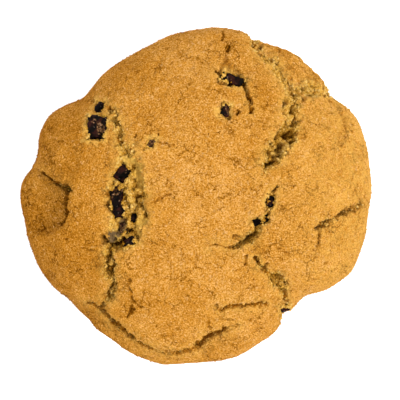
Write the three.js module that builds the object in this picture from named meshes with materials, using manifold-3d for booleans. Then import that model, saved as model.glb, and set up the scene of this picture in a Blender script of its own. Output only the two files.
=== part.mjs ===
// A chocolate-chunk muffin, baked straight in the tin with no paper case: one cake with a broad
// cracked crown, and the chunks of dark chocolate that show in its cracks, its crust and its side.
// Millimetres, +Z up. The origin is the centre of the flat underside.
import * as THREE from "three";
import { ConvexGeometry } from "three/addons/geometries/ConvexGeometry.js";
import { mergeVertices } from "three/addons/utils/BufferGeometryUtils.js";
import Module from "manifold-3d";

// The tin sets the lower half: a round cup that widens from the base to the lip.
const baseRadius = 26;
const baseEdgeRound = 2.2;
const lipRadius = 33.5;
const lipHeight = 34;

// The crown rose over the lip and spread on the tin's top plate.
const rimHeight = 40;
const crownRise = 20;
const domePower = 2.2;
const underRimPower = 0.8;

// The widest line of the crown sways up and down: by how much, how many times round, and where.
const rimSways = [
  { height: 0.8, waves: 2, start: 0.6 },
  { height: 0.5, waves: 3, start: -1.2 },
];

// Mesh fineness: the length of one facet's side on the crown, and of the larger facets below it; the
// radius under which a ring is one point; and how finely the meridian is walked to space its rings.
const facet = 2.6;
const wallRingGap = 6.24;
const wallFacet = 3.9;
const baseEdgeRingGap = 1.3;
const baseRingGap = 13;
const fewestFacets = 6;
const pole = 0.5;
const meridianSamples = 300;
const meanRimRadius = 42;

// A crack's cutter: the length of one convex piece of it, the share of that length by which the
// pieces overlap, how far it stands above the crust, and the samples along a route.
const cutterStep = 3.2;
const cutterOverlap = 0.1;
const cutterClearance = 6;
const routeSamples = 60;

// Clearance between a chocolate chunk and the pocket it sits in.
const pocketGap = 0.3;

// The crown's outline from above: angle in degrees from +X, radius. Lobes of batter bulge out and
// the seams between them draw in.
const crownOutline = [
  [0, 43.3], [12, 43.8], [26, 44.4], [31, 43.4], [37, 41.7], [42, 42.7], [58, 43.5], [70, 42.2],
  [76, 43.2], [90, 42.0], [103, 41.0], [113, 39.6], [124, 39.4], [132, 38.6], [139, 38.0],
  [145, 40.2], [151, 42.7], [158, 42.7], [167, 41.4], [175, 43.6], [189, 43.7], [204, 43.2],
  [222, 41.1], [236, 41.2], [256, 42.8], [268, 41.6], [284, 40.7], [300, 38.5], [307, 36.7],
  [317, 36.5], [324, 39.8], [333, 42.5], [345, 43.2],
];

// Swells of the crust: centre x, y, reach and height.
const swells = [
  { x: -29, y: 13.5, reach: 11, height: 1.4 },
  { x: -27, y: -11.5, reach: 12, height: 1.2 },
  { x: 4, y: 23.5, reach: 9, height: 1.0 },
  { x: -8, y: -25.5, reach: 12, height: 1.3 },
  { x: 24, y: -13.5, reach: 10, height: 1.2 },
  { x: 29, y: 11.5, reach: 11, height: 1.2 },
  { x: 12, y: -29.5, reach: 8, height: 0.8 },
];

// Parts of the crown that broke away and lie lower: an ellipse of crust, the turn of its width
// from +X, and the share of its height above the rim that it lost.
const droppedLobes = [
  { name: "left apron", x: -41, y: -1.3, halfWidth: 9, halfLength: 8.3, turn: 8, fall: 0.34 },
  { name: "upper right shelf", x: 27, y: 32.5, halfWidth: 13, halfLength: 7, turn: -48, fall: 0.24 },
  { name: "front rim left", x: -18, y: -37.5, halfWidth: 14, halfLength: 6, turn: -40, fall: 0.26 },
  { name: "front rim right", x: 6, y: -41.5, halfWidth: 15, halfLength: 5.5, turn: 22, fall: 0.26 },
];
const tornEdge = 0.16;

// Cracks where the rising batter tore the crust: a route over the crown, the widest gap, the depth,
// and how much of the width stays flat at the bottom.
const crackTipShare = 0.12;
const crackTaperPower = 0.45;
const cracks = [
  {
    name: "left split",
    route: [[-22, 23.5], [-20, 18.5], [-18, 12.5], [-17, 5.5], [-17.5, -1.5], [-18, -8], [-21, -12.5]],
    width: 6.5, depth: 2.6, floor: 0.7,
  },
  {
    name: "left split tail",
    route: [[-20.5, -9.5], [-21.5, -14.5], [-21, -19.5], [-21, -23.5], [-23.5, -26.5]],
    width: 2.6, depth: 3.0, floor: 0.3,
  },
  {
    name: "right split",
    route: [[20.5, 27.5], [22.5, 23.5], [23, 17.5], [21, 12.5], [18, 8], [15.5, 4.5]],
    width: 3.4, depth: 3.2, floor: 0.4,
  },
  {
    name: "right split tail",
    route: [[19, 2.5], [17.5, -2.5], [15.5, -6.5], [12.5, -10.5], [8.5, -12], [3, -11.8]],
    width: 2.2, depth: 3.0, floor: 0.2,
  },
  {
    name: "lower right crack",
    route: [[11, -13.5], [15, -17], [19, -20.5], [21.5, -25], [23.5, -28.5]],
    width: 2.6, depth: 2.8, floor: 0.3,
  },
  {
    name: "front crack",
    route: [[-25, -26], [-20.5, -31.5], [-14, -36.5], [-7, -38.5], [0, -37.3], [8, -32.5], [12, -30.5]],
    width: 2.0, depth: 3.2, floor: 0.2,
  },
  {
    name: "small front crack",
    route: [[7, -27.5], [11, -26.8], [16, -26.4]],
    width: 1.4, depth: 1.8, floor: 0.2,
  },
  {
    name: "right edge crack",
    route: [[29, -8], [33, -5.5], [36.5, -3.4], [40, -2.1]],
    width: 1.5, depth: 2.2, floor: 0.2,
  },
];

// Chocolate chunks: where each one shows, its size along its own length, width and depth, the turn
// of its length from +X, and how far it stands above the crumb around it.
const crownChunks = [
  { name: "chunk_left_shoulder", x: -24.8, y: 17.2, size: [6.2, 4.8, 4.6], turn: 84, lift: 0.5 },
  { name: "chunk_left_shoulder_chip", x: -24.1, y: 22.3, size: [2.9, 2.0, 2.4], turn: 70, lift: 0.4 },
  { name: "chunk_split_top", x: -18.4, y: 5.9, size: [4.2, 3.4, 4.2], turn: 52, lift: 0.9 },
  { name: "chunk_split_middle", x: -19.5, y: -1.2, size: [8.6, 3.3, 4.4], turn: 98, lift: 0.8 },
  { name: "chunk_split_lower", x: -18.3, y: -7.6, size: [3.0, 1.9, 3.0], turn: 100, lift: 0.5 },
  { name: "chunk_split_edge", x: -15.7, y: -5, size: [2.6, 1.4, 3.2], turn: 80, lift: 0.4 },
  { name: "chunk_split_foot", x: -16.7, y: -10.9, size: [3.4, 2.0, 3.2], turn: 30, lift: 0.4 },
  { name: "chunk_upper_flap", x: 8.5, y: 29, size: [5.6, 2.4, 3.6], turn: -22, lift: 0.3 },
  { name: "chunk_upper_hole", x: 6.8, y: 21.5, size: [3.2, 2.0, 3.4], turn: 75, lift: 0.3 },
  { name: "chunk_right_split", x: 17.8, y: -1, size: [3.2, 2.0, 3.6], turn: 80, lift: 0.7 },
  { name: "chunk_right_split_lower", x: 15.5, y: -5.6, size: [4.4, 1.9, 3.2], turn: 20, lift: 0.5 },
  { name: "chunk_lower_right_rim", x: 21.8, y: -27.6, size: [2.6, 1.8, 2.4], turn: 15, lift: 0.5 },
  { name: "chunk_upper_left_chip", x: -11.4, y: 13.2, size: [2.2, 1.6, 2.0], turn: 60, lift: 0.3 },
];

// Chunks that lay against the tin: angle round the side, height, and size across, up and inwards.
const sideChunks = [
  { name: "chunk_side_front", angle: 262, height: 21, size: [6.4, 4.6, 4.2], tilt: 18 },
  { name: "chunk_side_right", angle: 344, height: 14, size: [5.2, 4.0, 4.0], tilt: -35 },
  { name: "chunk_side_back", angle: 76, height: 25, size: [5.8, 4.2, 4.2], tilt: 50 },
  { name: "chunk_side_left", angle: 158, height: 10, size: [4.6, 5.4, 4.0], tilt: 12 },
  { name: "chunk_side_rear_left", angle: 204, height: 27, size: [3.8, 3.0, 3.2], tilt: -20 },
];
const sideChunkStandOff = 0.1;

// A chunk's corners are snapped off: the least of a half size that is left, how much more chance
// leaves, and how much of the other half sizes stays at a snapped corner.
const snapLeast = 0.62;
const snapSpread = 0.3;
const endShoulder = 0.85;
const topShoulder = 0.9;
const sideShoulder = 0.8;

const wasm = await Module();
wasm.setup();

const clamp01 = (value) => Math.min(1, Math.max(0, value));
const smooth = (value) => clamp01(value) ** 2 * (3 - 2 * clamp01(value));
const radians = THREE.MathUtils.degToRad;

// A smooth closed curve through [angle, radius] pairs, read at one angle in degrees.
function radiusAt(outline, degrees) {
  const angle = ((degrees % 360) + 360) % 360;
  const count = outline.length;
  const at = (i) => {
    const turns = Math.floor(i / count);
    const [a, r] = outline[i - turns * count];
    return [a + 360 * turns, r];
  };
  let i = count - 1;
  while (i > 0 && outline[i][0] > angle) i--;
  const [[a0, r0], [a1, r1], [a2, r2], [a3, r3]] = [at(i - 1), at(i), at(i + 1), at(i + 2)];
  const span = a2 - a1;
  const slope1 = ((r2 - r0) / (a2 - a0)) * span;
  const slope2 = ((r3 - r1) / (a3 - a1)) * span;
  const u = (angle - a1) / span;
  const hermite = (2 * u ** 3 - 3 * u ** 2 + 1) * r1 + (u ** 3 - 2 * u ** 2 + u) * slope1;
  return hermite + (3 * u ** 2 - 2 * u ** 3) * r2 + (u ** 3 - u ** 2) * slope2;
}

// How deep a point lies inside a dropped lobe: 0 outside, 1 well inside its torn edge.
function insideLobe(lobe, x, y) {
  const turn = radians(lobe.turn);
  const along = (x - lobe.x) * Math.cos(turn) + (y - lobe.y) * Math.sin(turn);
  const across = (y - lobe.y) * Math.cos(turn) - (x - lobe.x) * Math.sin(turn);
  const reach = Math.hypot(along / lobe.halfWidth, across / lobe.halfLength);
  return smooth((1 + tornEdge / 2 - reach) / tornEdge);
}

// Height of the crown's widest line, which sways a little round the muffin.
function rimHeightAt(angle) {
  let height = rimHeight;
  for (const sway of rimSways) {
    height += sway.height * Math.sin(sway.waves * angle + sway.start);
  }
  return height;
}

// Radius of the tapered wall that the tin formed.
function wallRadius(z) {
  return baseRadius + ((lipRadius - baseRadius) * (z - baseEdgeRound)) / (lipHeight - baseEdgeRound);
}

// Height of the crown's crust above the base, before the cracks are cut.
function crownHeight(x, y) {
  const rim = radiusAt(crownOutline, THREE.MathUtils.radToDeg(Math.atan2(y, x)));
  const share = Math.min(1, Math.hypot(x, y) / rim);
  const dome = Math.sqrt(1 - share ** domePower);
  let height = crownRise * dome;
  for (const swell of swells) {
    const away = Math.hypot(x - swell.x, y - swell.y) / swell.reach;
    height += swell.height * dome * Math.exp(-(away ** 2));
  }
  for (const lobe of droppedLobes) {
    height *= 1 - lobe.fall * insideLobe(lobe, x, y);
  }
  return rimHeightAt(Math.atan2(y, x)) * (1 - dome) + rimHeight * dome + height;
}

// One stretch of the meridian, from its first station to its last, as rings at an even spacing.
// station(share) gives, for a direction and the rim's radius there, the point at that share.
function ringsAlong(station, spacing, facetLength = spacing) {
  const chosen = [];
  let walked = 0;
  let before = new THREE.Vector3(...station(0)(1, 0, meanRimRadius));
  for (let i = 1; i <= meridianSamples; i++) {
    const share = i / meridianSamples;
    const point = new THREE.Vector3(...station(share)(1, 0, meanRimRadius));
    walked += point.distanceTo(before);
    before = point;
    if (walked < spacing && i < meridianSamples) continue;
    const facets = Math.max(fewestFacets, Math.round((2 * Math.PI * point.x) / facetLength));
    chosen.push({ station: station(share), facets: point.x < pole ? 1 : facets });
    walked = 0;
  }
  return chosen;
}

// The whole meridian, from the top of the crown, over the rim and down the wall to the base.
function muffinRings() {
  const crown = (share) => (cos, sin, rim) => {
    const radius = Math.sin((share * Math.PI) / 2) * rim;
    return [radius * cos, radius * sin, crownHeight(radius * cos, radius * sin)];
  };
  const underRim = (share) => (cos, sin, rim) => {
    const turn = (share * Math.PI) / 2;
    const radius = rim + (lipRadius - rim) * (1 - Math.cos(turn)) ** underRimPower;
    const top = rimHeightAt(Math.atan2(sin, cos));
    return [radius * cos, radius * sin, top - (top - lipHeight) * Math.sin(turn)];
  };
  const wall = (share) => (cos, sin) => {
    const z = lipHeight + (baseEdgeRound - lipHeight) * share;
    return [wallRadius(z) * cos, wallRadius(z) * sin, z];
  };
  const baseEdge = (share) => (cos, sin) => {
    const turn = (share * Math.PI) / 2;
    const radius = baseRadius - baseEdgeRound * (1 - Math.cos(turn));
    return [radius * cos, radius * sin, baseEdgeRound * (1 - Math.sin(turn))];
  };
  const base = (share) => (cos, sin) => {
    const radius = (baseRadius - baseEdgeRound) * (1 - share);
    return [radius * cos, radius * sin, 0];
  };
  return [
    { station: crown(0), facets: 1 },
    ...ringsAlong(crown, facet),
    ...ringsAlong(underRim, facet),
    ...ringsAlong(wall, wallRingGap, wallFacet),
    ...ringsAlong(baseEdge, baseEdgeRingGap, wallFacet),
    ...ringsAlong(base, baseRingGap),
  ];
}

// Points on the rings, and triangles that zip each ring to the next.
function muffinGeometry() {
  const points = [];
  const triangles = [];
  const rings = muffinRings().map(({ station, facets }) => {
    const first = points.length / 3;
    for (let i = 0; i < facets; i++) {
      const angle = (2 * Math.PI * i) / facets;
      const rim = radiusAt(crownOutline, THREE.MathUtils.radToDeg(angle));
      points.push(...station(Math.cos(angle), Math.sin(angle), rim));
    }
    return { first, facets };
  });
  for (let k = 0; k + 1 < rings.length; k++) {
    const [upper, lower] = [rings[k], rings[k + 1]];
    const vertex = (ring, i) => ring.first + (i % ring.facets);
    const turns = (ring) => (ring.facets > 1 ? ring.facets : 0);
    let i = 0;
    let j = 0;
    while (i < turns(upper) || j < turns(lower)) {
      const lowerDone = j >= turns(lower);
      const upperIsBehind = (i + 1) / upper.facets <= (j + 1) / lower.facets;
      if (i < turns(upper) && (lowerDone || upperIsBehind)) {
        triangles.push(vertex(upper, i), vertex(lower, j), vertex(upper, i + 1));
        i++;
      } else {
        triangles.push(vertex(upper, i), vertex(lower, j), vertex(lower, j + 1));
        j++;
      }
    }
  }
  const geometry = new THREE.BufferGeometry();
  geometry.setAttribute("position", new THREE.Float32BufferAttribute(points, 3));
  geometry.setIndex(triangles);
  return geometry;
}

// How much of a crack's full width and depth is left at a share u of its route: it closes to a
// hair at both ends.
const crackTaper = (u) => Math.max(crackTipShare, (4 * u * (1 - u)) ** crackTaperPower);
const crackPath = (route) =>
  new THREE.CatmullRomCurve3(route.map(([x, y]) => new THREE.Vector3(x, y, 0)), false, "centripetal");

// The outline across a crack at a share u of its route: a funnel from above the crust to the floor.
function crackSection({ width, depth, floor }, path, u) {
  const centre = path.getPointAt(u);
  const along = path.getTangentAt(u);
  const half = (width / 2) * crackTaper(u);
  const down = -depth * crackTaper(u);
  const crust = crownHeight(centre.x, centre.y);
  const outline = [
    [-half, cutterClearance], [-half, 0], [-half * floor, down],
    [half * floor, down], [half, 0], [half, cutterClearance],
  ];
  return outline.map(([aside, up]) => {
    return new THREE.Vector3(centre.x + along.y * aside, centre.y - along.x * aside, crust + up);
  });
}

// A tool the shape of one crack: a tapering trough that follows the crust at its own depth, joined
// from short convex lengths that overlap a little.
function crackSolid(crack) {
  const path = crackPath(crack.route);
  const steps = Math.ceil(path.getLength() / cutterStep);
  const overlap = cutterOverlap / steps;
  let tool = null;
  for (let i = 0; i < steps; i++) {
    const start = crackSection(crack, path, clamp01(i / steps - overlap));
    const end = crackSection(crack, path, clamp01((i + 1) / steps + overlap));
    const length = solidOf(new ConvexGeometry([...start, ...end]));
    tool = tool ? tool.add(length) : length;
  }
  return tool;
}

// An even chance from 0 to 1 for a seed and a count.
const chance = (seed, n) => Math.abs(Math.sin(seed * 12.9898 + n * 78.233));

// A lump of broken chocolate: a block with snapped corners. The seed varies the snaps.
function chunkGeometry([length, width, depth], seed, grow = 0) {
  const [a, b, c] = [length / 2 + grow, width / 2 + grow, depth / 2 + grow];
  const corners = [];
  const snap = (n) => snapLeast + snapSpread * chance(seed, n);
  let n = 0;
  for (const sx of [-1, 1]) {
    for (const sy of [-1, 1]) {
      for (const sz of [-1, 1]) {
        corners.push(new THREE.Vector3(sx * a * snap(n), sy * b, sz * c * topShoulder));
        corners.push(new THREE.Vector3(sx * a, sy * b * snap(n + 1), sz * c * sideShoulder));
        corners.push(new THREE.Vector3(sx * a * endShoulder, sy * b * snap(n + 2), sz * c));
        n += 3;
      }
    }
  }
  return new ConvexGeometry(corners);
}

function solidOf(geometry) {
  const bare = geometry.clone();
  bare.deleteAttribute("normal");
  bare.deleteAttribute("uv");
  const merged = mergeVertices(bare, 1e-4);
  return new wasm.Manifold(
    new wasm.Mesh({
      numProp: 3,
      vertProperties: merged.getAttribute("position").array,
      triVerts: new Uint32Array(merged.index.array),
    }),
  );
}

function geometryOf(solid) {
  const mesh = solid.getMesh();
  const geometry = new THREE.BufferGeometry();
  geometry.setAttribute("position", new THREE.Float32BufferAttribute(mesh.vertProperties, 3));
  geometry.setIndex(Array.from(mesh.triVerts));
  geometry.computeVertexNormals();
  return geometry;
}

// Depth of the deepest crack over a point, so that a chunk in a crack sits on its floor.
function crackDepth(x, y) {
  let deepest = 0;
  for (const { route, width, depth, floor } of cracks) {
    for (const [i, point] of crackPath(route).getSpacedPoints(routeSamples).entries()) {
      const taper = crackTaper(i / routeSamples);
      const aside = Math.hypot(point.x - x, point.y - y) / ((width / 2) * taper);
      deepest = Math.max(deepest, depth * taper * clamp01((1 - aside) / (1 - floor)));
    }
  }
  return deepest;
}

// Where a chunk sits: its middle and its turn, as a matrix.
function crownPlace({ x, y, size, turn, lift }) {
  const z = crownHeight(x, y) - crackDepth(x, y) + lift - size[2] / 2;
  return new THREE.Matrix4().makeRotationZ(radians(turn)).setPosition(x, y, z);
}
function sidePlace({ angle, height, size, tilt }) {
  const radius = wallRadius(height) + sideChunkStandOff - size[2] / 2;
  const outward = new THREE.Matrix4().makeRotationZ(radians(angle));
  const lay = new THREE.Matrix4().makeRotationY(Math.PI / 2);
  const spin = new THREE.Matrix4().makeRotationZ(radians(tilt));
  const centre = new THREE.Vector3(radius, 0, height).applyMatrix4(outward);
  return outward.multiply(lay).multiply(spin).setPosition(centre);
}

const crust = new THREE.MeshStandardMaterial({ name: "crust", color: 0xcc8f3d, roughness: 0.85 });
const chocolate = new THREE.MeshStandardMaterial({ name: "chocolate", color: 0x2a150b, roughness: 0.45 });
crust.metalness = 0;
chocolate.metalness = 0;

const muffin = new THREE.Group();
muffin.name = "muffin";

let cake = solidOf(muffinGeometry());
for (const crack of cracks) {
  cake = cake.subtract(crackSolid(crack));
}
const chunks = [
  ...crownChunks.map((chunk) => ({ ...chunk, place: crownPlace(chunk) })),
  ...sideChunks.map((chunk) => ({ ...chunk, place: sidePlace(chunk) })),
];
chunks.forEach(({ name, size, place }, seed) => {
  const pocket = chunkGeometry(size, seed + 1, pocketGap).applyMatrix4(place);
  cake = cake.subtract(solidOf(pocket));
  const chunk = new THREE.Mesh(chunkGeometry(size, seed + 1), chocolate);
  chunk.name = name;
  chunk.applyMatrix4(place);
  muffin.add(chunk);
});

const body = new THREE.Mesh(geometryOf(cake), crust);
body.name = "muffin_cake";
muffin.add(body);

export default muffin;
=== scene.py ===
# A chocolate-chunk muffin that stands on its flat base on a pale floor. Metres, +Z up.
import math
from itertools import product

import bmesh
import bpy
import numpy as np
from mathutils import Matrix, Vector
from mathutils.geometry import convex_hull_2d


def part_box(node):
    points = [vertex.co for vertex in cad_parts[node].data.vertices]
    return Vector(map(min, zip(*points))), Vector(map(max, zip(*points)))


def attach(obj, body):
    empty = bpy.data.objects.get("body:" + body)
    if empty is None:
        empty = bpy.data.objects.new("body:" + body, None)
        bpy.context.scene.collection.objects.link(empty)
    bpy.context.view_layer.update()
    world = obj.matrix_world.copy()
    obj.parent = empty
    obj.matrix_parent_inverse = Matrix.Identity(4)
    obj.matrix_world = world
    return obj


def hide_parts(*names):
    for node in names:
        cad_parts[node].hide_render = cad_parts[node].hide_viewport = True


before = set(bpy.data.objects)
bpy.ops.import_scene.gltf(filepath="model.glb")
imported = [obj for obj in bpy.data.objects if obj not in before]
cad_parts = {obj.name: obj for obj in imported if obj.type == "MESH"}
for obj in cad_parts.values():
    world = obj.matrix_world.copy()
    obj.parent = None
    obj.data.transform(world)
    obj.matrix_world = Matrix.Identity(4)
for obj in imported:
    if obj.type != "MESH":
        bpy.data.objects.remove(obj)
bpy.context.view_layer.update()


# ----------------------------------------
# The cake. One piece of baked dough: the tin shaped its tapered wall and flat base, and the crown
# rose over the lip, spread, and tore open where the crust set before the inside stopped rising.
# ----------------------------------------

# All sizes in this section are in millimetres; MM turns them into the scene's metres.
MM = 0.001
base_radius = 26
base_edge_round = 2.2
lip_radius = 33.5
lip_height = 34
rim_height = 40
crown_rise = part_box("muffin_cake")[1][2] / MM - rim_height
dome_power = 2.2

# How far apart the mesh's points lie. Triangles are split in four where there is more to show: this
# near to cracks and sunken parts, and this share of a chunk's size from its middle.
crown_spacing = 0.47
under_rim_spacing = 0.75
wall_spacing = 0.8
base_spacing = 2.2
crack_margin = 1.1
sunken_margin = 0.8
chunk_margin = 0.75

# Cracks and patches are placed on the crown unrolled flat. The underside of the rim carries on from
# it, its crust fading out towards the tin, and the wall and base lie past it all.
under_rim_unrolled = 12
tin_unrolled = 60
crust_ends = 57
crust_fade = 5.76

# The crown's outline from above: the angle in degrees from +X, and the radius.
crown_outline = [
    (0, 43.3), (12, 43.8), (26, 44.4), (31, 43.4), (37, 41.7), (42, 42.7), (58, 43.5), (70, 42.2),
    (76, 43.2), (90, 42), (103, 41), (113, 39.6), (124, 39.4), (132, 38.6), (139, 38), (145, 40.2),
    (151, 42.7), (158, 42.7), (167, 41.4), (175, 43.6), (189, 43.7), (204, 43.2), (222, 41.1), (236, 41.2),
    (256, 42.8), (268, 41.6), (284, 40.7), (300, 38.5), (307, 36.7), (317, 36.5), (324, 39.8), (333, 42.5),
    (345, 43.2),
]

# Where the crust puffed up: x, y, reach, height.
swells = [
    (-29, 13.5, 11, 1.4), (-27, -11.5, 12, 1.2), (4, 23.5, 9, 1), (-8, -25.5, 12, 1.3),
    (24, -13.5, 10, 1.2), (29, 11.5, 11, 1.2), (12, -29.5, 8, 0.8),
]

# Parts of the crown that broke away and sank: their torn border (closed outside the crown), the
# share of their height above the rim that they lost, how wide the step is, and how rough they are.
# The front rim sank to a ledge instead. It has the ledge's height above the rim, how steeply the
# crust rises behind it, the x at its ends, and how long it takes to run out there.
sunken_parts = [
    dict(fall=0.32, step=1.5, rough=0.25, border=[
        (-46, 7), (-41, 7.6), (-38.2, 6.2), (-36.1, 4.6), (-33.8, 3.4), (-31.4, 2.5), (-31.9, 0.8),
        (-32.3, -1.6), (-32.2, -4.4), (-33.6, -7.2), (-37.5, -8.9), (-46, -9.2),
    ]),
    dict(fall=0.2, step=1.4, rough=0.7, border=[
        (13.4, 46), (13.8, 39.5), (15.6, 35.8), (19.2, 32.6), (21.2, 29.2), (23.2, 25.6), (26.5, 24),
        (30.5, 25.4), (34, 26), (46, 30),
    ]),
    dict(fall=0, ledge=5, slope=0.58, ends=(-31, 13), fade=13, step=0.9, rough=0.12, border=[
        (-46, -24), (-27.4, -26), (-24.4, -27), (-22.4, -29), (-19.5, -32.2), (-16.5, -34.2), (-13, -36.9),
        (-9.6, -38.5), (-4, -38.7), (0.2, -36.6), (1.8, -34.9), (7.8, -32.2), (13, -31.4), (22, -33),
        (30, -46), (-46, -46),
    ]),
]

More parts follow.
